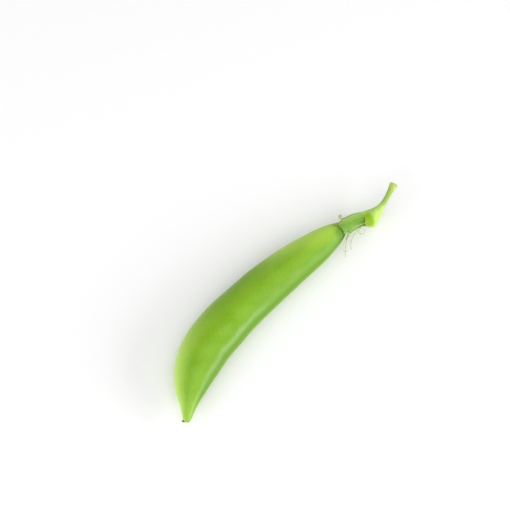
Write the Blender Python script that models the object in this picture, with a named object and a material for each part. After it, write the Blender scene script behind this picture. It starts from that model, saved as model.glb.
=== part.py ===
"""Sugar snap pea pod, picked with its calyx and stalk, lying on one broad side.

Metres, +Z up. X runs from the tip of the pod to the cut end of the stalk, +Y is the convex back
of the pod and -Y the side with the seam that opens. The origin is below the middle of the object's
box, on the surface that it lies on.
"""

from math import cos, pi, radians, sin

import bmesh
import bpy
from mathutils import Matrix, Vector

MM = 0.001
GAP = 0.32 * MM  # clear space between pieces that touch on the real pod

# Middle line of the pod from its tip to the end of its neck, in millimetres:
# x, y, height, half the depth between the two seams, half the thickness
POD_STATIONS = [
    (-51.7, -19.5, 4.4, 0.98, 0.95),
    (-48.5, -17.2, 4.6, 2.05, 1.85),
    (-44.0, -13.9, 4.9, 4.45, 3.35),
    (-38.2, -10.8, 5.1, 6.30, 4.55),
    (-31.2, -8.7, 5.2, 7.15, 5.10),
    (-23.5, -8.0, 5.2, 7.35, 5.20),
    (-14.5, -8.2, 5.2, 7.00, 5.10),
    (-5.0, -9.0, 5.2, 6.75, 5.00),
    (4.5, -10.3, 5.3, 6.10, 4.70),
    (12.5, -11.8, 5.4, 5.20, 4.05),
    (18.5, -12.9, 5.5, 4.10, 3.20),
    (22.2, -13.6, 5.6, 2.90, 2.35),
    (24.6, -14.2, 5.7, 1.60, 1.50),
    (28.0, -15.5, 5.9, 1.15, 1.15),
    (31.9, -17.9, 6.0, 1.00, 1.00),
]
POD_RINGS = 74
VALVE_STEPS = 12  # faces across one valve, from seam to seam
VALVE_SQUARENESS = 1.12  # 1 is an ellipse, and more pinches the valves towards the seams
TIP_ROUNDING = 0.8 * MM  # length over which the blunt tip closes
TIP_LEAST = 0.6  # size of the blunt end of the tip, as a share of the pod's size there

# The seam that opens is a pair of fine ridges with a groove, and the back has one fine keel
SEAM_HALF_WIDTH = 0.62 * MM
SEAM_RIDGE = 0.20 * MM
SEAM_GROOVE = 0.02 * MM
SEAM_RIDGE_PLACE = 0.55  # height of each ridge in the seam, as a share of the seam's half width
SEAM_FADES_BELOW = 3 * MM  # half depth under which the ridges fade, towards the tip and the neck
EDGE_MOST = 0.45  # widest a seam may be, as a share of the half thickness
KEEL_HALF_WIDTH = 0.34 * MM
KEEL_RIDGE = 0.16 * MM

# Peas raise the valves a little where they press from inside
PEA_FIRST = 15.5 * MM  # along the middle line, from the tip
PEA_SPACING = 8.1 * MM
PEA_COUNT = 7
PEA_HALF_LENGTH = 3.0 * MM
PEA_BULGE = 0.14 * MM
PEA_ACROSS = 0.56  # place across the valve, 0 at the back and 1 at the opening seam
PEA_HALF_WIDTH = 0.36  # in the same measure

REST_CUT = 0.30 * MM  # depth of the flat spot that the belly lies on

# The dried style is a short stub on the back corner of the tip
STYLE_RADIUS = 0.42 * MM
STYLE_LENGTH = 1.3 * MM  # half of it is sunk in the tip
STYLE_FROM_END = 0.55 * MM
STYLE_FROM_MIDDLE = 0.7 * MM
STYLE_LEAN = 0.45  # how far it leans on past the tip for each unit towards the back
STYLE_TAPER = 0.6

# Calyx cup from the stalk to its mouth, in millimetres and degrees:
# x, y, height, direction towards the stalk, half width, inner half width (0 is solid)
CUP_STATIONS = [
    (37.0, -18.5, 6.5, 8, 1.00, 0),
    (35.7, -18.65, 6.4, -6, 1.35, 0),
    (34.3, -18.9, 6.3, -24, 1.95, 0),
    (33.1, -19.1, 6.2, -36, 2.75, 1.40),
    (32.1, -18.6, 6.1, -40, 2.90, 1.85),
    (30.9, -17.6, 6.0, -38, 2.60, 1.85),
    (29.6, -16.6, 5.9, -34, 2.08, 1.50),
]
CUP_SIDES = 20

# Calyx lobes round the neck, by the angle from the back of the pod in degrees: middle and half
# spread; then length and outward curl at the tip in millimetres
LOBES = [
    (18, 27, 7.4, 1.7),
    (100, 54, 8.5, 0.15),
    (184, 28, 7.8, 0.8),
    (252, 38, 8.0, 0.5),
    (323, 30, 7.4, 0.8),
]
LOBE_THICKNESS = 0.62 * MM
LOBE_LATE = 2.4  # the higher, the nearer to its tip a lobe starts to narrow
LOBE_ROUNDNESS = 0.85
LOBE_POINT = 0.08  # width of the tip, as a share of the root's
LOBE_STEPS = 9
LOBE_ACROSS = 6
LOBE_ROOT = 1.4 * MM  # from the end of the neck to the root of a lobe, which is sunk into the cup

# Stalk from the cup to its cut end, in millimetres: x, y, height, half width
STALK_STATIONS = [
    (37.4, -18.4, 6.55, 0.95),
    (38.7, -18.25, 6.65, 0.84),
    (40.6, -17.85, 6.85, 0.82),
    (42.4, -17.4, 7.05, 0.93),
    (43.8, -17.05, 7.25, 1.14),
    (44.7, -16.8, 7.35, 1.28),
]
STALK_RINGS = 20
STALK_SIDES = 14

# Withered filaments of the flower: a thread from the gap between two lobes to its free end,
# and short curls that branch from it, in millimetres: x, y, height
THREAD = [
    (24.6, -16.0, 7.1),
    (23.6, -17.2, 7.0),
    (22.5, -17.8, 6.8),
    (21.3, -18.0, 6.5),
    (20.4, -18.5, 5.9),
    (19.3, -19.3, 4.8),
    (18.0, -20.4, 3.0),
]
CURLS = [
    [(23.1, -17.5, 6.9), (23.7, -18.8, 6.6), (24.9, -19.7, 6.0), (26.2, -19.8, 6.0), (27.0, -19.1, 6.6)],
    [(21.9, -17.9, 6.6), (21.9, -19.1, 5.4), (22.5, -20.1, 4.4), (23.7, -20.6, 3.9)],
]
THREAD_RADIUS = 0.26 * MM
THREAD_SIDES = 6


def smooth_through(rows, place):
    """The value at place, 0 to 1, on a smooth curve through rows of numbers."""
    last = len(rows) - 1
    index = min(int(place * last), last - 1)
    part = place * last - index
    before = rows[max(index - 1, 0)]
    start, end = rows[index], rows[index + 1]
    after = rows[min(index + 2, last)]
    found = []
    for a, b, c, d in zip(before, start, end, after):
        rise, fall = (c - a) / 2, (d - b) / 2
        found.append(
            b + part * rise + part**2 * (3 * (c - b) - 2 * rise - fall) + part**3 * (2 * (b - c) + rise + fall)
        )
    return found


def evenly_along(rows, count, samples=900):
    """count sets of values at equal distances along the curve, each with its distance."""
    dense = [smooth_through(rows, k / samples) for k in range(samples + 1)]
    distance = [0.0]
    for a, b in zip(dense, dense[1:]):
        distance.append(distance[-1] + (Vector(b[:3]) - Vector(a[:3])).length)
    even, k = [], 0
    for step in range(count):
        wanted = distance[-1] * step / (count - 1)
        while k < samples - 1 and distance[k + 1] < wanted:
            k += 1
        part = (wanted - distance[k]) / (distance[k + 1] - distance[k])
        values = [a + (b - a) * part for a, b in zip(dense[k], dense[k + 1])]
        even.append((wanted * MM, values))
    return even


def frames_along(points):
    """For each point: its place, the way on, the way to the back and the way up, square to each other."""
    frames = []
    for k, point in enumerate(points):
        ahead = (points[min(k + 1, len(points) - 1)] - points[max(k - 1, 0)]).normalized()
        back = Vector((0, 0, 1)).cross(ahead).normalized()
        frames.append((point, ahead, back, ahead.cross(back)))
    return frames


def loft(rings):
    """A closed mesh over rings of points, each with as many points as the next."""
    mesh = bmesh.new()
    rows = [[mesh.verts.new(point) for point in ring] for ring in rings]
    for lower, upper in zip(rows, rows[1:]):
        for k in range(len(lower)):
            following = (k + 1) % len(lower)
            mesh.faces.new((lower[k], lower[following], upper[following], upper[k]))
    mesh.faces.new(rows[0][::-1])
    mesh.faces.new(rows[-1])
    bmesh.ops.recalc_face_normals(mesh, faces=mesh.faces)
    return mesh


def add_object(name, mesh):
    data = bpy.data.meshes.new(name)
    mesh.to_mesh(data)
    mesh.free()
    piece = bpy.data.objects.new(name, data)
    bpy.context.collection.objects.link(piece)
    return piece


def union(piece, others):
    """Joins the others into the piece with one Boolean, and removes them."""
    group = bpy.data.collections.new("joining")
    bpy.context.scene.collection.children.link(group)
    for other in others:
        bpy.context.collection.objects.unlink(other)
        group.objects.link(other)
    joining = piece.modifiers.new("join", "BOOLEAN")
    joining.operation = "UNION"
    joining.operand_type = "COLLECTION"
    joining.collection = group
    joining.solver = "EXACT"
    bpy.context.view_layer.update()
    joined = piece.evaluated_get(bpy.context.evaluated_depsgraph_get())
    data = bpy.data.meshes.new_from_object(joined)
    piece.modifiers.clear()
    piece.data = data
    for other in others:
        bpy.data.objects.remove(other)
    bpy.data.collections.remove(group)


def finish(piece, colour, roughness, smooth_angle=40):
    """Smooth shading, and a material of its own."""
    material = bpy.data.materials.new(piece.name)
    material.use_nodes = True
    shader = material.node_tree.nodes["Principled BSDF"]
    shader.inputs["Base Color"].default_value = (*colour, 1)
    shader.inputs["Roughness"].default_value = roughness
    shader.inputs["Metallic"].default_value = 0
    piece.data.materials.clear()
    piece.data.materials.append(material)
    piece.data.shade_smooth()
    piece.data.set_sharp_from_angle(angle=radians(smooth_angle))


def valve_point(across, half_depth, half_thickness, pea):
    """A point on the upper valve: across is 0 at the back and 1 at the opening seam."""
    edge = KEEL_HALF_WIDTH + (SEAM_HALF_WIDTH - KEEL_HALF_WIDTH) * across
    edge = min(edge, EDGE_MOST * half_thickness)
    arch = sin(pi * across) ** VALVE_SQUARENESS
    bulge = PEA_BULGE * pea * max(0.0, 1 - ((across - PEA_ACROSS) / PEA_HALF_WIDTH) ** 2)
    return half_depth * cos(pi * across), edge + (half_thickness - edge) * arch + bulge


def pod_section(half_depth, half_thickness, pea):
    """The outline of the pod at one place, as (towards the back, up) pairs."""
    steps = [k / VALVE_STEPS for k in range(VALVE_STEPS + 1)]
    upper = [valve_point(step, half_depth, half_thickness, pea) for step in steps]
    fine = min(1.0, half_depth / SEAM_FADES_BELOW)
    ridge_up = upper[-1][1] * SEAM_RIDGE_PLACE
    seam = [
        (-half_depth - SEAM_RIDGE * fine, ridge_up),
        (-half_depth - SEAM_GROOVE * fine, 0.0),
        (-half_depth - SEAM_RIDGE * fine, -ridge_up),
    ]
    keel = [(half_depth + KEEL_RIDGE * fine, 0.0)]
    lower = [(back, -up) for back, up in reversed(upper)]
    return upper + seam + lower + keel


def pea_at(distance):
    """How far the valve is over a pea, from 0 between peas to 1."""
    nearest = round((distance - PEA_FIRST) / PEA_SPACING)
    nearest = max(0, min(PEA_COUNT - 1, nearest))
    off = (distance - PEA_FIRST - nearest * PEA_SPACING) / PEA_HALF_LENGTH
    return max(0.0, 1 - off**2) ** 2


def pod_frames(count=POD_RINGS):
    """The places along the pod: distance, half depth, half thickness, and the frame there."""
    even = evenly_along(POD_STATIONS, count)
    frames = frames_along([Vector(values[:3]) * MM for _, values in even])
    return [
        (distance, values[3] * MM, values[4] * MM, frame)
        for (distance, values), frame in zip(even, frames)
    ]


def make_pod():
    rings = []
    for distance, half_depth, half_thickness, (point, ahead, back, up) in pod_frames():
        closing = min(1.0, distance / TIP_ROUNDING)
        rounding = max(TIP_LEAST, (1 - (1 - closing) ** 2) ** 0.5)
        outline = pod_section(half_depth * rounding, half_thickness * rounding, pea_at(distance))
        rings.append([point + back * y + up * z for y, z in outline])
    pod = add_object("pod", loft(rings))
    union(pod, [make_style()])
    cut_rest_spot(pod)
    finish(pod, (0.28, 0.50, 0.04), 0.42)


def make_style():
    _, _, _, (tip, ahead, back, up) = pod_frames()[0]
    way = (back - ahead * STYLE_LEAN).normalized()
    turn = way.to_track_quat("Z", "Y").to_matrix().to_4x4()
    mesh = bmesh.new()
    bmesh.ops.create_cone(
        mesh,
        cap_ends=True,
        segments=8,
        radius1=STYLE_RADIUS,
        radius2=STYLE_RADIUS * STYLE_TAPER,
        depth=STYLE_LENGTH,
        matrix=Matrix.Translation(tip + ahead * STYLE_FROM_END + back * STYLE_FROM_MIDDLE) @ turn,
    )
    return add_object("style", mesh)


def cut_rest_spot(pod):
    """Cuts the flat spot that the belly lies on."""
    mesh = bmesh.new()
    mesh.from_mesh(pod.data)
    lowest = min(vertex.co.z for vertex in mesh.verts)
    everything = list(mesh.verts) + list(mesh.edges) + list(mesh.faces)
    cut = bmesh.ops.bisect_plane(
        mesh,
        geom=everything,
        plane_co=(0, 0, lowest + REST_CUT),
        plane_no=(0, 0, 1),
        clear_inner=True,
    )
    rim = [item for item in cut["geom_cut"] if isinstance(item, bmesh.types.BMEdge)]
    bmesh.ops.edgeloop_fill(mesh, edges=rim)
    bmesh.ops.recalc_face_normals(mesh, faces=mesh.faces)
    mesh.to_mesh(pod.data)
    mesh.free()


def round_ring(point, ahead, half_width, sides):
    back = Vector((0, 0, 1)).cross(ahead).normalized()
    up = ahead.cross(back)
    angles = [2 * pi * k / sides for k in range(sides)]
    return [point + (back * cos(angle) + up * sin(angle)) * half_width for angle in angles]


def make_cup():
    """The calyx cup: outside from the stalk to the mouth, then down its inner wall."""
    outside, inside = [], []
    for x, y, height, direction, outer, inner in CUP_STATIONS:
        point = Vector((x, y, height)) * MM
        ahead = Vector((cos(radians(direction)), sin(radians(direction)), 0))
        outside.append(round_ring(point, ahead, outer * MM, CUP_SIDES))
        if inner:
            inside.append(round_ring(point, ahead, inner * MM, CUP_SIDES))
    return add_object("calyx", loft(outside + inside[::-1]))


def lobe_spread(along):
    """Half spread of a lobe as a share of its root's: broad past the middle, then rounding to a point."""
    return max(LOBE_POINT, (1 - along**LOBE_LATE) ** LOBE_ROUNDNESS)


def make_lobe(middle, half_spread, length, curl, frames):
    """One calyx lobe, which hugs the neck from the cup towards the pod."""
    rings = []
    for step in range(LOBE_STEPS + 1):
        along = step / LOBE_STEPS
        wanted = frames[-1][0] - LOBE_ROOT - along * length * MM
        _, half_depth, half_thickness, frame = min(frames, key=lambda item: abs(item[0] - wanted))
        point, ahead, back, up = frame
        radius = max(half_depth, half_thickness) + GAP + curl * MM * along**3
        reach = half_spread * lobe_spread(along)
        turns = [radians(middle + reach * (2 * k / LOBE_ACROSS - 1)) for k in range(LOBE_ACROSS + 1)]
        ways = [back * cos(turn) + up * sin(turn) for turn in turns]
        outer = [point + way * (radius + LOBE_THICKNESS) for way in ways]
        inner = [point + way * radius for way in reversed(ways)]
        rings.append(outer + inner)
    return add_object("lobe", loft(rings))


def make_calyx():
    frames = pod_frames(20 * POD_RINGS)
    calyx = make_cup()
    union(calyx, [make_lobe(*lobe, frames) for lobe in LOBES])
    finish(calyx, (0.30, 0.46, 0.10), 0.55)


def make_stalk():
    rings = []
    even = evenly_along(STALK_STATIONS, STALK_RINGS)
    frames = frames_along([Vector(values[:3]) * MM for _, values in even])
    for (_, values), (point, ahead, back, up) in zip(even, frames):
        rings.append(round_ring(point, ahead, values[3] * MM, STALK_SIDES))
    finish(add_object("stalk", loft(rings)), (0.45, 0.62, 0.13), 0.5)


def make_thread(name, stations):
    """A thin round thread through the stations, with blunt ends."""
    rows = [(*station, 1.0) for station in stations]
    even = evenly_along(rows, 3 * len(rows))
    frames = frames_along([Vector(values[:3]) * MM for _, values in even])
    rings = [round_ring(point, ahead, THREAD_RADIUS, THREAD_SIDES) for point, ahead, _, _ in frames]
    return add_object(name, loft(rings))


def make_withered_stamens():
    stamens = make_thread("withered_stamens", THREAD)
    union(stamens, [make_thread("curl", curl) for curl in CURLS])
    finish(stamens, (0.62, 0.52, 0.30), 0.7)


def rest_on_surface(pieces):
    """Moves the pieces so that the origin is below the middle of their box, at its lowest face."""
    corners = [vertex.co for piece in pieces for vertex in piece.data.vertices]
    low = Vector([min(corner[k] for corner in corners) for k in range(3)])
    high = Vector([max(corner[k] for corner in corners) for k in range(3)])
    middle = (low + high) / 2
    whole = bpy.data.objects.new("sugar_snap_pea_pod", None)
    bpy.context.collection.objects.link(whole)
    whole.location = (-middle.x, -middle.y, -low.z)
    for piece in pieces:
        piece.parent = whole


def main():
    for item in list(bpy.data.objects):
        bpy.data.objects.remove(item)
    make_pod()
    make_calyx()
    make_stalk()
    make_withered_stamens()
    rest_on_surface([item for item in bpy.data.objects if item.type == "MESH"])


main()
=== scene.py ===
from math import copysign, cos, pi, radians, sin

import bmesh
import bpy
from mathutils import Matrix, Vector


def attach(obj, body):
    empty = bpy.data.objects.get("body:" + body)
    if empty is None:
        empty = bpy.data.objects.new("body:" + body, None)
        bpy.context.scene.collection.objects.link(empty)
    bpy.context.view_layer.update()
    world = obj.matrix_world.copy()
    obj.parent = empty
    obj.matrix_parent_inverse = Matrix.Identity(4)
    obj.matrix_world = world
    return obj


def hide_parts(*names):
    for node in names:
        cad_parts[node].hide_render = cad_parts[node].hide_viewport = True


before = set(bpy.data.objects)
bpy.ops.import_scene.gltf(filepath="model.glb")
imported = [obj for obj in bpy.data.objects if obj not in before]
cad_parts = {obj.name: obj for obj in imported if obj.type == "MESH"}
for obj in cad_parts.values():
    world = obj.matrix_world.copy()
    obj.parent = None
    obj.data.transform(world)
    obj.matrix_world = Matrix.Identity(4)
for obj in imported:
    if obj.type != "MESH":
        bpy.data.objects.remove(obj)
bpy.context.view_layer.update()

mm = 0.001
planZero = Vector((3.6403, 10.9071, -0.1676)) * mm  # where the stations below have their zero in the frame
curveSamples = 900  # points that a curve is measured with
bendPoints = 400  # points of a line that a piece is bent along


def inFrame(place):
    # a point given in mm, as the stations are
    return planZero + Vector(place) * mm


def choose(piece):
    bpy.ops.object.select_all(action="DESELECT")
    piece.select_set(True)
    bpy.context.view_layer.objects.active = piece


def startEditing(piece):
    choose(piece)
    bpy.ops.object.mode_set(mode="EDIT")
    bpy.ops.mesh.select_all(action="SELECT")


def stopEditing():
    bpy.ops.object.mode_set(mode="OBJECT")


def pick(wanted):
    # in edit mode: selects the points that wanted(point) says yes to, and nothing else
    mesh = bmesh.from_edit_mesh(bpy.context.object.data)
    for vert in mesh.verts:
        vert.select = wanted(vert.co)
    mesh.select_flush_mode()
    bmesh.update_edit_mesh(bpy.context.object.data)


def startRound(name, sides):
    # a filled circle of radius 1 that faces along X, ready to be extruded, with its first point at +Y
    bpy.ops.object.select_all(action="DESELECT")
    bpy.ops.mesh.primitive_circle_add(vertices=sides, radius=1, fill_type="NGON", rotation=(0, pi / 2, 0))
    piece = bpy.context.object
    piece.name = piece.data.name = name
    bpy.ops.object.transform_apply(location=True, rotation=True, scale=True)
    startEditing(piece)
    return piece


def moveOn(step):
    bpy.ops.mesh.extrude_region_move(TRANSFORM_OT_translate={"value": tuple(step)})


def resize(factors, centre):
    bpy.ops.transform.resize(value=tuple(factors), center_override=tuple(centre))


def turn(degrees, axis, centre):
    # with no window the operator turns the other way
    bpy.ops.transform.rotate(value=-radians(degrees), orient_axis=axis, center_override=tuple(centre))


def addModifier(piece, kind, **settings):
    # adds a modifier and applies it at once
    choose(piece)
    modifier = piece.modifiers.new(kind.lower(), kind)
    for name, value in settings.items():
        setattr(modifier, name, value)
    bpy.ops.object.modifier_apply(modifier=modifier.name)


def subdivide(piece, levels):
    addModifier(piece, "SUBSURF", levels=levels, render_levels=levels)


def faceOutwards(piece):
    startEditing(piece)
    bpy.ops.mesh.normals_make_consistent(inside=False)
    stopEditing()


def shadeSmooth(piece):
    choose(piece)
    bpy.ops.object.shade_smooth()


def keepPlaces(piece, name):
    # remembers where each point is now, so that a pattern can follow the piece once it is bent
    places = piece.data.attributes.new(name, "FLOAT_VECTOR", "POINT")
    for place, vert in zip(places.data, piece.data.vertices):
        place.vector = vert.co


def smoothThrough(rows, place):
    # the row of values at place, 0 to 1, on a smooth curve through the rows
    last = len(rows) - 1
    index = min(int(place * last), last - 1)
    part = place * last - index
    found = []
    for a, b, c, d in zip(rows[max(index - 1, 0)], rows[index], rows[index + 1], rows[min(index + 2, last)]):
        rise, fall = (c - a) / 2, (d - b) / 2
        square, cube = 3 * (c - b) - 2 * rise - fall, 2 * (b - c) + rise + fall
        found.append(b + part * rise + part**2 * square + part**3 * cube)
    return found


def evenlyAlong(stations, count):
    # count rows at equal distances along the curve through stations, as (distance, row), in metres
    dense = [smoothThrough(stations, k / curveSamples) for k in range(curveSamples + 1)]
    distance = [0.0]
    for a, b in zip(dense, dense[1:]):
        distance.append(distance[-1] + (Vector(b[:3]) - Vector(a[:3])).length)
    even, k = [], 0
    for step in range(count):
        wanted = distance[-1] * step / (count - 1)
        while k < curveSamples - 1 and distance[k + 1] < wanted:
            k += 1
        part = (wanted - distance[k]) / (distance[k + 1] - distance[k])
        even.append((wanted * mm, [(a + (b - a) * part) * mm for a, b in zip(dense[k], dense[k + 1])]))
    return even


def makeBendLine(name, stations):
    # the middle line that a straight piece is bent along
    line = bpy.data.curves.new(name, "CURVE")
    line.dimensions = "3D"
    line.twist_mode = "Z_UP"
    spline = line.splines.new("POLY")
    places = evenlyAlong(stations, bendPoints)
    spline.points.add(len(places) - 1)
    for point, (_, row) in zip(spline.points, places):
        point.co = (*(Vector(row[:3]) + planZero), 1)
    holder = bpy.data.objects.new(name, line)
    bpy.context.collection.objects.link(holder)
    return holder


def bendAlong(piece, line):
    addModifier(piece, "CURVE", object=line, deform_axis="POS_X")


def growRound(name, stations, rings, sides, shapeEnd=None):
    # a round stem along stations of x, y, height and half width in mm
    line = makeBendLine(name + "Line", stations)
    rows = evenlyAlong(stations, rings)
    piece = startRound(name, sides)
    width = rows[0][1][3]
    resize((1, width, width), (0, 0, 0))
    before = 0.0
    for distance, row in rows[1:]:
        moveOn((distance - before, 0, 0))
        resize((1, row[3] / width, row[3] / width), (distance, 0, 0))
        before, width = distance, row[3]
    if shapeEnd:
        shapeEnd()
    stopEditing()
    faceOutwards(piece)
    keepPlaces(piece, "straightPlace")
    subdivide(piece, 2)
    bendAlong(piece, line)
    bpy.data.objects.remove(line)
    shadeSmooth(piece)
    return piece


pod = {
    # middle line from the tip to the end of the neck: x, y, height, half depth, half thickness, in mm
    "stations": [
        (-51.7, -19.5, 4.4, 0.98, 0.95),
        (-48.5, -17.2, 4.6, 2.05, 1.85),
        (-44.0, -13.9, 4.9, 4.45, 3.35),
        (-38.2, -10.8, 5.1, 6.30, 4.55),
        (-31.2, -8.7, 5.2, 7.15, 5.10),
        (-23.5, -8.0, 5.2, 7.35, 5.20),
        (-14.5, -8.2, 5.2, 7.00, 5.10),
        (-5.0, -9.0, 5.2, 6.75, 5.00),
        (4.5, -10.3, 5.3, 6.10, 4.70),
        (12.5, -11.8, 5.4, 5.20, 4.05),
        (18.5, -12.9, 5.5, 4.10, 3.20),
        (22.2, -13.6, 5.6, 2.90, 2.35),
        (24.6, -14.2, 5.7, 1.60, 1.50),
        (28.0, -15.5, 5.9, 1.15, 1.15),
        (31.9, -17.9, 6.0, 1.00, 1.00),
    ],
    "rings": 75,
    "sides": 48,
    "pinch": 1.12,  # 1 is an ellipse, and more draws the valves in towards the seams
    "tipStart": 0.6,  # size of the first ring, as a share of the next
    "seamRidge": 0.026,  # height of the two ridges of the seam, as a share of the half depth
    "seamWidth": 85,  # percent of the faces next to it, as for the keel
    "keelRidge": 0.02,
    "keelWidth": 45,
    "firstPea": 15.5 * mm,  # along the middle line
    "peaSpacing": 8.1 * mm,
    "peas": 7,
    "peaHalfLength": 3.6 * mm,
    "peaMiddle": -0.30,  # across the valve: -1 at the seam, 1 at the back
    "peaHalfWidth": 0.58,
    "peaBulge": 0.20 * mm,
    "unevenness": [(6 * mm, 0.20 * mm), (2.2 * mm, 0.05 * mm)],  # size and height of the skin's low swells
}

podRings = evenlyAlong(pod["stations"], pod["rings"])
podLine = makeBendLine("podLine", pod["stations"])


def podSize(distance):
    # half depth and half thickness at a distance along the pod
    place = min(max(distance / podRings[-1][0], 0), 1) * (pod["rings"] - 1)
    k = min(int(place), pod["rings"] - 2)
    low, high = podRings[k][1], podRings[k + 1][1]
    return [low[i] + (high[i] - low[i]) * (place - k) for i in (3, 4)]


def peaUnder(place):
    # how far a point of the straight pod is over a pea, 0 to 1
    k = round((place.x - pod["firstPea"]) / pod["peaSpacing"])
    k = min(max(k, 0), pod["peas"] - 1)
    off = (place.x - pod["firstPea"] - k * pod["peaSpacing"]) / pod["peaHalfLength"]
    across = (place.y / podSize(place.x)[0] - pod["peaMiddle"]) / pod["peaHalfWidth"]
    return max(0, 1 - off**2) ** 2 * max(0, 1 - across**2)


def makePodSkin():
    piece = startRound("podSkin", pod["sides"])
    mesh = bmesh.from_edit_mesh(piece.data)
    for vert in mesh.verts:
        vert.co.z = copysign(abs(vert.co.z) ** pod["pinch"], vert.co.z)
    # the seam that opens: two ridges with a groove between them
    pick(lambda p: p.y < -0.999)
    bpy.ops.mesh.bevel(affect="VERTICES", offset_type="PERCENT", offset_pct=pod["seamWidth"], segments=4)
    pick(lambda p: p.y < 0 and 0.02 < abs(p.z) < 0.08)
    bpy.ops.transform.translate(value=(0, -pod["seamRidge"], 0))
    # the back: one fine keel
    pick(lambda p: p.y > 0.999)
    bpy.ops.mesh.bevel(affect="VERTICES", offset_type="PERCENT", offset_pct=pod["keelWidth"], segments=2)
    pick(lambda p: p.y > 0.9 and abs(p.z) < 0.01)
    bpy.ops.transform.translate(value=(0, pod["keelRidge"], 0))

    bpy.ops.mesh.select_all(action="SELECT")
    size = [value * pod["tipStart"] for value in podRings[0][1][3:]]
    resize((1, *size), (0, 0, 0))
    before = 0.0
    for distance, row in podRings[1:]:
        moveOn((distance - before, 0, 0))
        resize((1, row[3] / size[0], row[4] / size[1]), (distance, 0, 0))
        before, size = distance, row[3:]
    stopEditing()
    faceOutwards(piece)
    keepPlaces(piece, "straightPlace")

    overPeas = piece.vertex_groups.new(name="overPeas")
    for vert in piece.data.vertices:
        overPeas.add([vert.index], peaUnder(vert.co), "REPLACE")
    addModifier(piece, "DISPLACE", vertex_group="overPeas", strength=pod["peaBulge"], mid_level=0)
    subdivide(piece, 2)
    for size, strength in pod["unevenness"]:
        clouds = bpy.data.textures.new("podClouds", "CLOUDS")
        clouds.noise_scale = size
        addModifier(piece, "DISPLACE", texture=clouds, strength=strength, mid_level=0.5)
    bendAlong(piece, podLine)

    # the belly is pressed flat where it rests
    startEditing(piece)
    pick(lambda p: p.z < 0)
    resize((1, 1, 0), (0, 0, 0))
    stopEditing()
    shadeSmooth(piece)
    return piece


podSkin = makePodSkin()

style = {
    "stations": [  # x, y, height, half width, in mm
        (-51.1, -18.9, 4.4, 0.42),
        (-51.66, -18.61, 4.42, 0.40),
        (-52.0, -18.42, 4.45, 0.34),
        (-52.2, -18.2, 4.5, 0.24),
    ],
    "rings": 7,
    "sides": 9,
}
driedStyle = growRound("driedStyle", style["stations"], style["rings"], style["sides"])
print("pod", len(podSkin.data.polygons), "faces")


cup = {
    # x, y, height, direction towards the stalk, half width, in mm and degrees;
    # the last four are the inner wall
    "stations": [
        (38.6, -18.27, 6.64, 9, 0.70),
        (37.5, -18.41, 6.55, 7, 0.87),
        (36.5, -18.58, 6.46, 3, 1.08),
        (35.5, -18.68, 6.39, -8, 1.42),
        (34.4, -18.9, 6.3, -24, 1.95),
        (33.3, -19.15, 6.2, -36, 2.72),
        (32.3, -18.95, 6.1, -41, 2.94),
        (31.3, -18.1, 6.05, -40, 2.74),
        (30.4, -17.35, 5.95, -37, 2.32),
        (30.2, -17.2, 5.95, -37, 2.08),
        (30.45, -17.4, 5.95, -37, 1.86),
        (31.3, -18.0, 6.0, -38, 2.05),
        (32.2, -18.7, 6.1, -40, 1.40),
    ],
    "lip": 8,  # which station is the lip
    "sides": 30,
    # where the lip is pulled towards the pod: degrees round it from the back, how far and how broadly, in mm
    "pulls": [
        (32, 1.9, 0.8),
        (150, 0.7, 0.8),
        (205, -0.35, 1.1),
        (238, 1.1, 0.8),
        (275, -0.3, 1.1),
        (310, 0.9, 0.8),
        (350, -0.3, 1.0),
    ],
}


def makeCalyxCup():
    piece = startRound("calyxCup", cup["sides"])
    at, direction, width = Vector((0, 0, 0)), 0.0, 1.0
    for k, (x, y, height, newDirection, newWidth) in enumerate(cup["stations"]):
        there = inFrame((x, y, height))
        if k == 0:
            bpy.ops.transform.translate(value=there - at)
        else:
            moveOn(there - at)
        turn(newDirection - direction, "Z", there)
        resize([newWidth * mm / width] * 3, there)
        at, direction, width = there, newDirection, newWidth * mm
        if k == cup["lip"]:
            lip = there
    # small points between the lobes, and shallow bays
    direction = radians(cup["stations"][cup["lip"]][3])
    sideways = Vector((-sin(direction), cos(direction), 0))
    forwards = Vector((-cos(direction), -sin(direction), 0))
    width = cup["stations"][cup["lip"]][4] * mm
    for degrees, pull, reach in cup["pulls"]:
        corner = lip + (sideways * cos(radians(degrees)) + Vector((0, 0, 1)) * sin(radians(degrees))) * width
        bpy.ops.mesh.select_all(action="DESELECT")
        mesh = bmesh.from_edit_mesh(piece.data)
        min(mesh.verts, key=lambda vert: (vert.co - corner).length).select = True
        bmesh.update_edit_mesh(piece.data)
        bpy.ops.transform.translate(
            value=forwards * pull * mm, use_proportional_edit=True,
            proportional_edit_falloff="SMOOTH", proportional_size=reach * mm,
        )
    stopEditing()
    faceOutwards(piece)
    subdivide(piece, 2)
    shadeSmooth(piece)
    return piece


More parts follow.
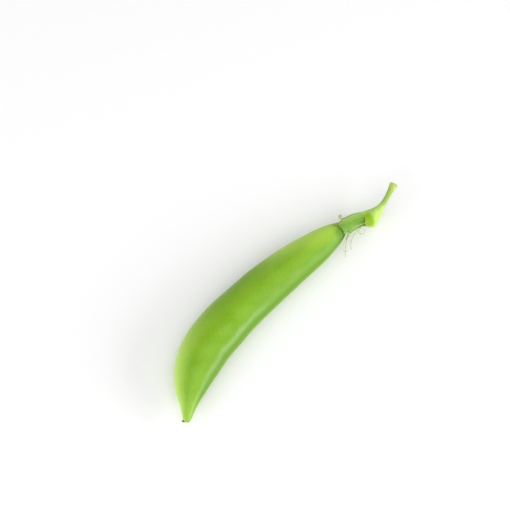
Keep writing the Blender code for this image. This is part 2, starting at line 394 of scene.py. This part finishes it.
lobes = {
    "shapes": [
        # angle from the back of the pod, half spread, length and curl in mm, how wide its end is and how
        # late it narrows, how far its tip curls back in degrees, and how dry the last of it is, 0 to 1
        {"name": "backLobe", "middle": 33, "spread": 27, "length": 6.6, "curl": 0.6,
         "end": 0.4, "late": 7, "hook": 200, "dry": 0},
        {"name": "topLobe", "middle": 109, "spread": 51, "length": 9.1, "curl": 0.0,
         "end": 0.8, "late": 10, "hook": 0, "dry": 0.1},
        {"name": "seamLobe", "middle": 184, "spread": 29, "length": 9.3, "curl": 0.9,
         "end": 0.45, "late": 7, "hook": 0, "dry": 0.9},
        {"name": "underLobe", "middle": 254, "spread": 38, "length": 8.5, "curl": 0.4,
         "end": 0.08, "late": 4, "hook": 0, "dry": 0.5},
        {"name": "lowBackLobe", "middle": 327, "spread": 33, "length": 7.9, "curl": 0.7,
         "end": 0.08, "late": 3, "hook": 0, "dry": 0.7},
    ],
    "rows": 20,
    "hookRows": 10,
    "hookRadius": 1.0 * mm,
    "hookTightens": 0.35,  # share of its radius that the hook loses by its end
    "hookDriesFrom": 0.7,  # along the lobe, as for driesFrom
    "hookTwist": 5,  # degrees a row
    "columnAngle": 4.5,  # degrees between the points of a lobe's root, with a rib on every other one
    "rib": 0.08 * mm,
    "clear": [(0.55,), (0.80,), (0.82,), (0.55,), (0.16,)],  # from the neck to a lobe, root to end, in mm
    "thickness": 0.26 * mm,
    "root": 0.9 * mm,  # from the end of the neck
    "ragged": 0.10 * mm,
    "driesFrom": 0.9,
    "driesBy": 10,  # how fast, for each whole length
    "narrowing": 0.6,  # the lower, the rounder the end
}


def lobePath(lobe):
    # rows from the root to the tip: x, distance from the middle line, width, how withered,
    # and whether it hugs the neck
    start = podRings[-1][0] - lobes["root"]
    rows, hookRows = lobes["rows"], lobes["hookRows"] if lobe["hook"] else 0
    path = []
    for k in range(rows + 1):
        along = k / rows
        x = start - along * lobe["length"] * mm
        radius = max(podSize(x)) + smoothThrough(lobes["clear"], along)[0] * mm + lobe["curl"] * mm * along**3
        withered = max(0, along - lobes["driesFrom"]) * lobes["driesBy"] * lobe["dry"]
        path.append([x, radius, 1.0, withered, True])
    x, radius = path[-1][:2]
    for k in range(1, hookRows + 1):
        bend = radians(lobe["hook"]) * k / hookRows
        tighter = lobes["hookRadius"] * (1 - lobes["hookTightens"] * k / hookRows)
        path.append([x - tighter * sin(bend), radius + tighter * (1 - cos(bend)), 1.0, 0.0, False])
    for k, row in enumerate(path):
        left = (1 - (k / (rows + hookRows)) ** lobe["late"]) ** lobes["narrowing"]
        row[2] = lobe["end"] + (1 - lobe["end"]) * left
        if hookRows:
            dried = max(k - lobes["hookDriesFrom"] * rows, 0)
            row[3] = min(dried / ((1 - lobes["hookDriesFrom"]) * rows + 2), 1)
    return path


def makeLobe(lobe):
    path = lobePath(lobe)
    piece = startRound(lobe["name"], round(360 / lobes["columnAngle"]))
    # an arc of the circle is kept, centred on +Z
    bpy.ops.mesh.delete(type="ONLY_FACE")
    lowest = cos(radians(lobe["spread"])) - 0.001
    pick(lambda p: p.z < lowest)
    bpy.ops.mesh.delete(type="VERT")
    mesh = bmesh.from_edit_mesh(piece.data)
    # across -1 to 1, along 0 to 1, how withered 0 to 1
    leafPlace = mesh.verts.layers.float_vector.new("leafPlace")
    x, radius, width = path[0][:3]
    for k, vert in enumerate(sorted(mesh.verts, key=lambda vert: vert.co.y)):
        vert[leafPlace] = (vert.co.y / sin(radians(lobe["spread"])), 0, 0)
        vert.co *= radius + (lobes["rib"] if k % 2 else 0)
    bpy.ops.mesh.select_all(action="SELECT")
    bpy.ops.transform.translate(value=(x, 0, 0))
    for k, (newX, newRadius, newWidth, withered, hugs) in enumerate(path[1:], 1):
        moveOn((newX - x, 0, 0))
        if hugs:
            resize((1, newRadius / radius, newRadius / radius), (newX, 0, 0))
        else:
            bpy.ops.transform.translate(value=(0, 0, newRadius - radius))
        narrower = newWidth / width
        resize((1, narrower, narrower**2), (newX, 0, newRadius))
        if not hugs:
            turn(lobes["hookTwist"], "X", (newX, 0, newRadius))
        for vert in bmesh.from_edit_mesh(piece.data).verts:
            if vert.select:
                across = vert[leafPlace].x
                vert[leafPlace] = (across, k / (len(path) - 1), withered)
                if k == lobes["rows"] and not lobe["hook"]:
                    wave = sin(across * 4 + lobe["middle"]) + 0.5 * sin(across * 11)
                    vert.co.x += lobes["ragged"] * wave
        x, radius, width = newX, newRadius, newWidth
    bpy.ops.mesh.select_all(action="SELECT")
    bpy.ops.mesh.normals_make_consistent(inside=False)
    stopEditing()
    addModifier(piece, "SOLIDIFY", thickness=lobes["thickness"], offset=1)
    faceOutwards(piece)
    subdivide(piece, 2)
    startEditing(piece)
    turn(lobe["middle"] - 90, "X", (0, 0, 0))
    stopEditing()
    # the pod is less thick than deep, and its lobes follow that
    for vert in piece.data.vertices:
        depth, thickness = podSize(vert.co.x)
        vert.co.z *= (thickness + lobes["thickness"]) / (max(depth, thickness) + lobes["thickness"])
    bendAlong(piece, podLine)
    shadeSmooth(piece)
    return piece


calyxCup = makeCalyxCup()
calyxLobes = [makeLobe(lobe) for lobe in lobes["shapes"]]
print("calyx", len(calyxCup.data.polygons), [len(piece.data.polygons) for piece in calyxLobes])


stalk = {
    "stations": [  # from the cup to the cut end: x, y, height, half width, in mm
        (36.3, -18.6, 6.44, 1.08),
        (37.4, -18.42, 6.55, 0.92),
        (38.7, -18.25, 6.65, 0.84),
        (40.6, -17.85, 6.85, 0.82),
        (42.4, -17.4, 7.05, 0.93),
        (43.8, -17.05, 7.25, 1.14),
        (44.7, -16.8, 7.35, 1.28),
    ],
    "rings": 26,
    "sides": 20,
    "rimWidth": 0.16 * mm,
    "sunk": 0.14 * mm,
}


def sinkCutEnd():
    # a rim, and a face that is sunk a little
    bpy.ops.mesh.inset(thickness=stalk["rimWidth"], use_even_offset=True)
    bpy.ops.mesh.inset(thickness=stalk["sunk"], use_even_offset=True)
    bpy.ops.transform.translate(value=(-stalk["sunk"], 0, 0))


stalkStem = growRound("stalkStem", stalk["stations"], stalk["rings"], stalk["sides"], sinkCutEnd)
print("stalk", len(stalkStem.data.polygons))


threads = {
    "stations": [  # x, y, height, half width, in mm
        [(25.6, -15.6, 6.2, 0.17), (24.3, -16.5, 6.2, 0.17), (22.9, -17.25, 6.3, 0.17),
         (21.72, -17.69, 6.3, 0.15), (20.74, -18.16, 6.0, 0.15), (19.62, -18.96, 5.4, 0.13),
         (18.64, -19.74, 4.5, 0.12), (17.95, -20.39, 3.2, 0.09)],
        [(28.9, -17.2, 5.5, 0.15), (27.9, -18.0, 5.5, 0.15), (26.5, -18.25, 5.5, 0.14),
         (25.3, -18.15, 5.55, 0.14), (24.3, -18.2, 5.5, 0.13), (22.9, -18.6, 5.4, 0.12),
         (21.9, -19.2, 5.1, 0.10), (21.2, -19.9, 4.6, 0.10), (21.0, -20.2, 4.4, 0.16),
         (20.9, -20.4, 4.3, 0.10)],
        [(23.0, -17.2, 6.3, 0.12), (21.4, -17.4, 6.6, 0.12), (20.1, -17.8, 6.3, 0.11),
         (19.0, -18.4, 5.6, 0.10), (18.7, -19.2, 5.0, 0.10), (19.2, -19.7, 4.8, 0.15),
         (19.5, -19.8, 4.8, 0.09)],
        [(26.2, -18.2, 5.5, 0.12), (26.2, -19.1, 5.2, 0.12), (26.8, -19.9, 5.0, 0.11),
         (27.7, -19.9, 5.3, 0.10), (28.0, -19.4, 5.5, 0.15), (28.0, -19.2, 5.5, 0.08)],
    ],
    "rings": 40,
    "sides": 7,
    "shrivelSize": 0.35 * mm,
    "shrivel": 0.14 * mm,
}


def joinPieces(pieces, name):
    bpy.ops.object.select_all(action="DESELECT")
    for piece in pieces:
        piece.select_set(True)
    bpy.context.view_layer.objects.active = pieces[0]
    bpy.ops.object.join()
    pieces[0].name = pieces[0].data.name = name
    return pieces[0]


grown = [growRound("thread", way, threads["rings"], threads["sides"]) for way in threads["stations"]]
witheredThreads = joinPieces(grown, "witheredThreads")
shrivel = bpy.data.textures.new("shrivel", "CLOUDS")
shrivel.noise_scale = threads["shrivelSize"]
addModifier(witheredThreads, "DISPLACE", texture=shrivel, strength=threads["shrivel"], mid_level=0.5)
print("threads", len(witheredThreads.data.polygons), "faces")


class Wire:
    # the output of a shader node, so that shader maths reads as plain sums
    def __init__(self, paint, socket):
        self.paint = paint
        self.socket = socket

    def sum(self, operation, first, second):
        return self.paint.add("Math", {"operation": operation}, {0: first, 1: second})

    def __add__(self, other):
        return self.sum("ADD", self, other)

    def __radd__(self, other):
        return self.sum("ADD", other, self)

    def __sub__(self, other):
        return self.sum("SUBTRACT", self, other)

    def __rsub__(self, other):
        return self.sum("SUBTRACT", other, self)

    def __mul__(self, other):
        return self.sum("MULTIPLY", self, other)

    def __rmul__(self, other):
        return self.sum("MULTIPLY", other, self)

    def __truediv__(self, other):
        return self.sum("DIVIDE", self, other)

    def __abs__(self):
        return self.sum("ABSOLUTE", self, 0)


class Paint:
    # one material and its nodes
    def __init__(self, name):
        self.material = bpy.data.materials.new(name)
        self.material.use_nodes = True
        self.nodes = self.material.node_tree.nodes
        self.links = self.material.node_tree.links
        self.shader = self.nodes["Principled BSDF"]

    def put(self, node, sockets):
        for socket, value in sockets.items():
            if isinstance(value, Wire):
                self.links.new(value.socket, node.inputs[socket])
            elif node.inputs[socket].type == "RGBA":
                node.inputs[socket].default_value = (*value, 1)
            else:
                node.inputs[socket].default_value = value

    def add(self, kind, settings, sockets, output=0):
        node = self.nodes.new("ShaderNode" + kind)
        for name, value in settings.items():
            setattr(node, name, value)
        self.put(node, sockets)
        return Wire(self, node.outputs[output])

    def finish(self, pieces, sockets):
        self.put(self.shader, sockets)
        for piece in pieces:
            piece.data.materials.clear()
            piece.data.materials.append(self.material)

    # what is used over and over
    def place(self, name, scale=1000):
        # an attribute of places; in mm if it was kept in metres
        where = self.add("Attribute", {"attribute_name": name}, {}, 1)
        return self.add("VectorMath", {"operation": "SCALE"}, {0: where, 3: scale})

    def part(self, vector, axis):
        return self.add("SeparateXYZ", {}, {0: vector}, axis)

    def stretch(self, vector, factors):
        return self.add("VectorMath", {"operation": "MULTIPLY"}, {0: vector, 1: factors})

    def ease(self, value, start, end):
        # 0 up to start, 1 from end on, smooth between them
        limits = {0: value, 1: start, 2: end, 3: 0, 4: 1}
        return self.add("MapRange", {"interpolation_type": "SMOOTHSTEP"}, limits)

    def noise(self, vector, scale, detail=2, roughness=0.5):
        return self.add("TexNoise", {}, {0: vector, 2: scale, 3: detail, 4: roughness})

    def distanceTo(self, where, point):
        # in metres; the point is in mm, as the stations are
        return self.add("VectorMath", {"operation": "DISTANCE"}, {0: where, 1: inFrame(point)}, 1)

    def blend(self, share, first, second):
        return self.add("Mix", {"data_type": "RGBA"}, {0: share, 6: first, 7: second}, 2)

    def bump(self, height, depth):
        # depth is the real height of the relief in metres
        return self.add("Bump", {}, {"Strength": 1, "Distance": depth, "Height": height})


podFinish = {
    "green": (0.165, 0.348, 0.003),
    "lightGreen": (0.200, 0.392, 0.007),
    # painted shade, for the half towards the seam and the back of the middle stretch
    "shadeGreen": (0.115, 0.265, 0.002),
    # painted shade, for the very edge of the seam
    "edge": (0.075, 0.18, 0.001),
    # painted shade, for the crease in front of the calyx
    "creaseShade": (0.09, 0.215, 0.001),
    "scar": (0.55, 0.68, 0.22),
    # pale green of the veins and the keel, also used for the back's paler skin with painted rim light
    "rim": (0.47, 0.70, 0.13),
    "seam": (0.33, 0.56, 0.06),
    "tip": (0.36, 0.58, 0.06),
    # paler skin with painted light, for the back of the neck
    "neck": (0.43, 0.66, 0.07),
    "speck": (0.42, 0.62, 0.16),
    "driedEdge": (0.21, 0.19, 0.03),
    "veinSpacing": 1.9,  # mm
    "netScale": 0.75,  # of the net of veins and of the specks, for each mm
    "speckScale": 0.42,
    "relief": 0.018 * mm,
    # stretches along the pod, in mm from the tip: nothing at the first number, complete at the second
    # the back's paler skin with painted rim light, near the tip and towards the neck
    "paleAndLitTip": (34, 16),
    "paleAndLitNeck": (42, 62),
    # painted shade along the back of the middle stretch
    "flankShadeStart": (30, 42),
    "flankShadeEnd": (60, 50),
    "neckPaleAndLit": (56, 74),
    "tipGreen": (9, 1.5),
    "scarPale": (0.5, 0.1),
    # painted shade in the crease in front of the calyx
    "creaseShadeStart": (76.2, 78.9),
    "creaseShadeEnd": (80.0, 78.8),
    "dullMiddle": (41, 50),
    "glossStart": (21, 27),
    "glossEnd": (42, 36),
    "dullNeck": (70, 77),
}


def paintPod():
    paint = Paint("podSkinGreen")
    where = paint.place("straightPlace")
    x, y, z = [paint.part(where, axis) for axis in range(3)]

    def along(stretch):
        # 0 to 1 over one of the stretches of podFinish
        return paint.ease(x, *podFinish[stretch])

    clouds = paint.noise(paint.stretch(where, (0.5, 1, 1)), 0.16, 3)
    grain = paint.noise(where, 0.9, 3, 0.6)
    lighter = paint.ease(clouds * 0.7 + grain * 0.3, 0.36, 0.66)
    colour = paint.blend(lighter, podFinish["green"], podFinish["lightGreen"])

    # fine veins slant across the valves, with a net between them
    wander = paint.noise(where, 0.35, 2) * 1.6
    slant = x - y * 0.75 + wander
    wave = paint.add("Math", {"operation": "PINGPONG"}, {0: slant, 1: podFinish["veinSpacing"] / 2})
    veins = paint.ease(wave, 0.16, 0.0)
    netPlace = paint.stretch(where, (0.7, 1, 1))
    cells = paint.add("TexVoronoi", {"feature": "DISTANCE_TO_EDGE"}, {0: netPlace, 2: podFinish["netScale"]})
    net = paint.ease(cells, 0.09, 0.0)
    lines = (veins * 0.7 + net * 0.3) * paint.ease(abs(z), 0.8, 2.4)
    colour = paint.blend(lines * 0.09, colour, podFinish["rim"])

    # pale specks, far apart
    dots = paint.add("TexVoronoi", {}, {0: where, 2: podFinish["speckScale"]})
    chance = paint.part(paint.add("TexVoronoi", {}, {0: where, 2: podFinish["speckScale"]}, 1), 0)
    specks = paint.ease(dots, 0.075, 0.045) * paint.ease(chance, 0.55, 0.6)
    colour = paint.blend(specks * 0.45, colour, podFinish["speck"])

    # the back is paler, partly its own paler skin and partly painted rim light, most of all near the tip; the
    # two lips of the seam and the tip are paler skin, and the back of the neck is paler skin with painted
    # light
    paleAndLit = 0.12 + along("paleAndLitTip") * 0.80 + along("paleAndLitNeck") * 0.90
    towardsBack = y / (abs(y) + abs(z) + 0.01)  # -1 at the seam that opens, 0 on the crowns, 1 at the back
    back = paint.ease(towardsBack, 0.10, 0.90) * paleAndLit
    colour = paint.blend(back, colour, podFinish["rim"])
    colour = paint.blend(paint.ease(towardsBack, 0.78, 0.95) * 0.60, colour, podFinish["rim"])
    lips = paint.ease(abs(z), 0.85, 0.35) * paint.ease(y, -0.3, -0.8)
    # painted shade: the half towards the seam is darker, and so is the back of the middle stretch
    flankShade = paint.ease(towardsBack, 0.15, 0.6) * along("flankShadeStart") * along("flankShadeEnd")
    paintedShade = paint.ease(towardsBack, -0.25, -0.80) * 0.85 + flankShade * 0.40
    colour = paint.blend(paintedShade, colour, podFinish["shadeGreen"])
    # painted shade along the very edge of the seam
    colour = paint.blend(paint.ease(towardsBack, -0.64, -0.82) * 0.35, colour, podFinish["edge"])
    colour = paint.blend(lips * 0.25, colour, podFinish["seam"])
    groove = paint.ease(abs(z), 0.16, 0.04) * paint.ease(y, -0.3, -0.8)
    colour = paint.blend(groove * 0.55, colour, podFinish["green"])
    # paler skin with painted light on the back of the neck
    colour = paint.blend(along("neckPaleAndLit") * paint.ease(y, -3.5, 2.0) * 0.85, colour, podFinish["neck"])
    colour = paint.blend(along("tipGreen") * 0.36, colour, podFinish["tip"])
    colour = paint.blend(along("scarPale") * 0.6, colour, podFinish["scar"])
    fromMiddle = paint.add("VectorMath", {"operation": "LENGTH"}, {0: paint.stretch(where, (0, 1, 1))}, 1)
    dried = paint.ease(x + grain * 0.5, 0.75, 0.45) * paint.ease(fromMiddle + clouds * 0.4, 0.50, 0.85)
    colour = paint.blend(dried * 0.8, colour, podFinish["driedEdge"])
    seamSideShade = paint.ease(y, 0.8, -1.6)  # painted shade: the side of the neck that faces the seam is darkest
    # painted shade in the crease in front of the calyx lip, darkest on the side that faces the seam
    creaseShade = paint.ease(x + clouds * 2.4 + seamSideShade * 0.7, *podFinish["creaseShadeStart"]) * along("creaseShadeEnd")
    creaseShade = creaseShade * paint.ease(grain + seamSideShade * 0.25, 0.3, 0.55)
    colour = paint.blend(creaseShade * (0.7 + seamSideShade * 0.2), colour, podFinish["creaseShade"])

    # the skin is glossiest before the middle, and duller towards the neck
    glossy = along("glossStart") * along("glossEnd") * 0.05
    dull = along("dullMiddle") * 0.16 - glossy + along("dullNeck") * 0.06
    height = grain * 0.40 + lines * 0.40 + paint.noise(where, 3.5, 2) * 0.15
    paint.finish([podSkin], {
        "Base Color": colour,
        "Roughness": 0.25 + clouds * 0.12 + grain * 0.05 + dull,
        "Normal": paint.bump(height, podFinish["relief"]),
        "Subsurface Weight": 0.12, "Subsurface Radius": (2, 3, 0.8), "Subsurface Scale": 1 * mm,
        "Specular IOR Level": 0.40,
    })


lobeFinish = {
    "green": (0.150, 0.305, 0.025),
    "light": (0.235, 0.430, 0.065),
    "dark": (0.080, 0.195, 0.010),
    # painted light: the colour of the side towards the back of the pod
    "back": (0.42, 0.72, 0.12),
    # painted shade, for the roots on the side away from the back
    "paintedShade": (0.075, 0.19, 0.008),
    "neckMiddle": (28.0, -16.0, 6.0),  # a point in the middle of the neck, in mm
    "backWay": (0.452, 0.892, 0),  # the way from there to the back of the pod
    "base": (0.25, 0.45, 0.035),
    "margin": (0.48, 0.64, 0.26),
    "withered": (0.43, 0.52, 0.19),
    "brown": (0.34, 0.24, 0.12),
    "relief": 0.035 * mm,
}


def paintLobes():
    paint = Paint("calyxLobeGreen")
    leaf = paint.place("leafPlace", 1)
    across, along, withered = [paint.part(leaf, axis) for axis in range(3)]
    where = paint.add("TexCoord", {}, {}, 3)
    mottle = paint.noise(where, 900, 3, 0.6)
    streaks = paint.noise(paint.stretch(leaf, (9, 1.4, 1)), 1, 3, 0.6)
    fine = paint.noise(paint.stretch(leaf, (34, 3, 1)), 1, 2)
    lighter = paint.ease(streaks * 0.7 + fine * 0.3, 0.38, 0.62)
    colour = paint.blend(lighter, lobeFinish["dark"], lobeFinish["light"])
    colour = paint.blend(0.25, colour, lobeFinish["green"])
    colour = paint.blend(paint.ease(mottle, 0.35, 0.75) * 0.3, colour, lobeFinish["light"])
    colour = paint.blend(paint.ease(along, 0.22, 0.0) * 0.6, colour, lobeFinish["base"])
    # painted light: the side towards the back of the pod is paler; painted shade: the roots on the other side
    # are deep green
    neckMiddle, backWay = inFrame(lobeFinish["neckMiddle"]), lobeFinish["backWay"]
    fromNeck = paint.add("VectorMath", {"operation": "SUBTRACT"}, {0: where, 1: neckMiddle})
    towardsBack = paint.add("VectorMath", {"operation": "DOT_PRODUCT"}, {0: fromNeck, 1: backWay}, 1)
    # painted light on the side towards the back of the pod
    paleAndLit = paint.ease(towardsBack, -0.6 * mm, 1.4 * mm) * (0.30 + streaks * 0.55)
    colour = paint.blend(paleAndLit, colour, lobeFinish["back"])
    # painted shade at the roots on the side away from the back
    shaded = paint.ease(towardsBack, 0.2 * mm, -1.2 * mm) * paint.ease(along, 0.60, 0.15)
    colour = paint.blend(shaded * 0.75, colour, lobeFinish["paintedShade"])
    edge = paint.ease(abs(across) + mottle * 0.12, 0.84, 1.0) * paint.ease(along, 0.98, 0.88)
    colour = paint.blend(edge * 0.6, colour, lobeFinish["margin"])
    dry = paint.ease(withered + streaks * 0.3, 0.35, 0.85)
    browner = paint.ease(fine + mottle * 0.5, 0.70, 0.95) * 0.6
    pale = paint.blend(browner, lobeFinish["withered"], lobeFinish["brown"])
    colour = paint.blend(dry, colour, pale)
    paint.finish(calyxLobes, {
        "Base Color": colour,
        "Roughness": 0.50 + streaks * 0.12,
        "Normal": paint.bump(fine * 0.6 + mottle * 0.4, lobeFinish["relief"]),
        "Subsurface Weight": 0.1, "Subsurface Radius": (1, 1.6, 0.4), "Subsurface Scale": 1 * mm,
        "Specular IOR Level": 0.25,
    })


stemFinish = {
    # where the cup is a deeper yellow-green, its dry mark at the lip, and the cut end: x, y, height in mm
    "patches": [(30.4, -17.9, 8.75), (30.3, -18.75, 8.5), (30.0, -19.5, 7.9)],
    "lipMark": (28.9, -19.3, 7.2),
    "cutEnd": (44.75, -16.8, 7.35),
    "toStalk": (39.5 * mm, 42.5 * mm),  # x over which the cup's green turns to the stalk's
    "toEnd": (45.5 * mm, 47.5 * mm),  # and the stalk's to that of the cut end
    "pale": (0.44, 0.635, 0.14),
    "green": (0.41, 0.635, 0.11),
    "yellow": (0.225, 0.41, 0.001),
    "stalk": (0.29, 0.44, 0.076),
    "end": (0.41, 0.49, 0.10),
    "rim": (0.26, 0.22, 0.05),
    "lip": (0.30, 0.22, 0.09),
    "relief": 0.03 * mm,
}


def paintStem():
    # the cup and the stalk are one growth, so they share a finish
    paint = Paint("stemGreen")
    where = paint.add("TexCoord", {}, {}, 3)
    x = paint.part(where, 0)
    mottle = paint.noise(where, 700, 3, 0.6)
    patch = 0.0
    for spot in stemFinish["patches"]:
        near = paint.ease(paint.distanceTo(where, spot) + mottle * mm, 2.8 * mm, 1.0 * mm)
        patch = near + patch - near * patch
    colour = paint.blend(paint.ease(mottle, 0.3, 0.7), stemFinish["pale"], stemFinish["green"])
    colour = paint.blend(patch, colour, stemFinish["yellow"])
    colour = paint.blend(paint.ease(x, *stemFinish["toStalk"]), colour, stemFinish["stalk"])
    colour = paint.blend(paint.ease(x, *stemFinish["toEnd"]), colour, stemFinish["end"])
    toLip = paint.distanceTo(where, stemFinish["lipMark"])
    lipMark = paint.ease(toLip + mottle * (0.8 * mm), 1.7 * mm, 0.9 * mm)
    colour = paint.blend(lipMark * 0.5, colour, stemFinish["lip"])
    toEnd = paint.distanceTo(where, stemFinish["cutEnd"])
    endX = inFrame(stemFinish["cutEnd"]).x
    dryRim = paint.ease(toEnd + mottle * (0.5 * mm), 1.05 * mm, 1.35 * mm)
    dryRim = dryRim * paint.ease(x + mottle * (0.6 * mm), endX - 0.2 * mm, endX + 0.2 * mm)
    colour = paint.blend(dryRim * 0.75, colour, stemFinish["rim"])
    paint.finish([calyxCup, stalkStem], {
        "Base Color": colour,
        "Roughness": 0.42 + mottle * 0.12,
        "Normal": paint.bump(mottle, stemFinish["relief"]),
        "Subsurface Weight": 0.12, "Subsurface Radius": (1.6, 2.4, 0.6), "Subsurface Scale": 1 * mm,
        "Specular IOR Level": 0.28,
    })


dryFinish = {
    "pale": (0.42, 0.54, 0.22),
    "straw": (0.48, 0.42, 0.20),
    "brown": (0.20, 0.13, 0.05),
    "relief": 0.04 * mm,
}


def paintThreads():
    paint = Paint("witheredStraw")
    where = paint.place("straightPlace")
    spots = paint.noise(where, 1.3, 3, 0.6)
    colour = paint.blend(paint.ease(spots, 0.42, 0.62), dryFinish["pale"], dryFinish["straw"])
    colour = paint.blend(paint.ease(spots, 0.60, 0.72) * 0.7, colour, dryFinish["brown"])
    paint.finish([witheredThreads], {
        "Base Color": colour,
        "Roughness": 0.6 + spots * 0.2,
        "Normal": paint.bump(spots, dryFinish["relief"]),
    })


styleFinish = {
    "brown": (0.08, 0.065, 0.012),
    "tan": (0.23, 0.19, 0.06),
    "relief": 0.04 * mm,
}


def paintStyle():
    paint = Paint("driedStyleBrown")
    where = paint.place("straightPlace")
    spots = paint.noise(where, 5, 3, 0.6)
    colour = paint.blend(paint.ease(spots, 0.4, 0.65), styleFinish["brown"], styleFinish["tan"])
    paint.finish([driedStyle], {
        "Base Color": colour,
        "Roughness": 0.6 + spots * 0.2,
        "Normal": paint.bump(spots, styleFinish["relief"]),
    })


paintPod()
paintLobes()
paintStem()
paintThreads()
paintStyle()
print("finishes done")

bpy.ops.object.select_all(action="DESELECT")
bpy.ops.mesh.primitive_plane_add(size=10)
floor = bpy.context.object
floor.name = "floor"
Paint("floorWhite").finish([floor], {"Base Color": (0.85, 0.85, 0.85), "Roughness": 0.6})

for piece in [podSkin, driedStyle, calyxCup, stalkStem, witheredThreads, *calyxLobes]:
    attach(piece, "root")
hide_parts("pod")
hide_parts("pod")
for piece in [calyxCup, *calyxLobes]:
    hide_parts("calyx")
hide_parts("stalk")
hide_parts("withered_stamens")
bpy.data.objects.remove(podLine)


# where the camera stands round the pod; the lens and its sensor are in mm
view = {
    "azimuth": -48.5, "elevation": 68, "distance": 0.425, "height": 5.2 * mm,
    "lens": 100, "sensor": 36, "nearest": 0.01,
}

studio = {
    "world": 0.56,
    # azimuth and elevation of each, its distance, width and height, and how bright its face is
    "softboxes": [
        {"name": "overheadBox", "azimuth": -115, "elevation": 64,
         "distance": 1.4, "size": (1.4, 1.4), "brightness": 1.1},
        {"name": "sideBox", "azimuth": -58, "elevation": 16,
         "distance": 1.2, "size": (1.24, 0.50), "brightness": 6.4},
        {"name": "leftBox", "azimuth": 178, "elevation": 25,
         "distance": 1.2, "size": (1.2, 0.9), "brightness": 2.8},
    ],
}

world = bpy.data.worlds.new("studio")
bpy.context.scene.world = world
world.use_nodes = True
world.node_tree.nodes["Background"].inputs["Color"].default_value = (1, 1, 1, 1)
world.node_tree.nodes["Background"].inputs["Strength"].default_value = studio["world"]


def addSoftbox(box):
    lamp = bpy.data.lights.new(box["name"], "AREA")
    lamp.shape = "RECTANGLE"
    lamp.size, lamp.size_y = box["size"]
    lamp.energy = box["brightness"] * box["size"][0] * box["size"][1] * pi
    holder = bpy.data.objects.new(box["name"], lamp)
    bpy.context.collection.objects.link(holder)
    a, e = radians(box["azimuth"]), radians(box["elevation"])
    holder.location = Vector((cos(a) * cos(e), sin(a) * cos(e), sin(e))) * box["distance"]
    holder.rotation_euler = holder.location.to_track_quat("Z", "Y").to_euler()


for box in studio["softboxes"]:
    addSoftbox(box)

a, e = radians(view["azimuth"]), radians(view["elevation"])
back = Vector((sin(a) * cos(e), -cos(a) * cos(e), sin(e)))
target = planZero + Vector((0, 0, view["height"]))
camera = bpy.data.objects.new("photoCamera", bpy.data.cameras.new("photoCamera"))
bpy.context.collection.objects.link(camera)
camera.data.lens = view["lens"]
camera.data.sensor_width = view["sensor"]
camera.data.clip_start = view["nearest"]
camera.location = target + back * view["distance"]
camera.rotation_euler = back.to_track_quat("Z", "Y").to_euler()
bpy.context.scene.camera = camera
bpy.context.scene.view_settings.view_transform = "Standard"
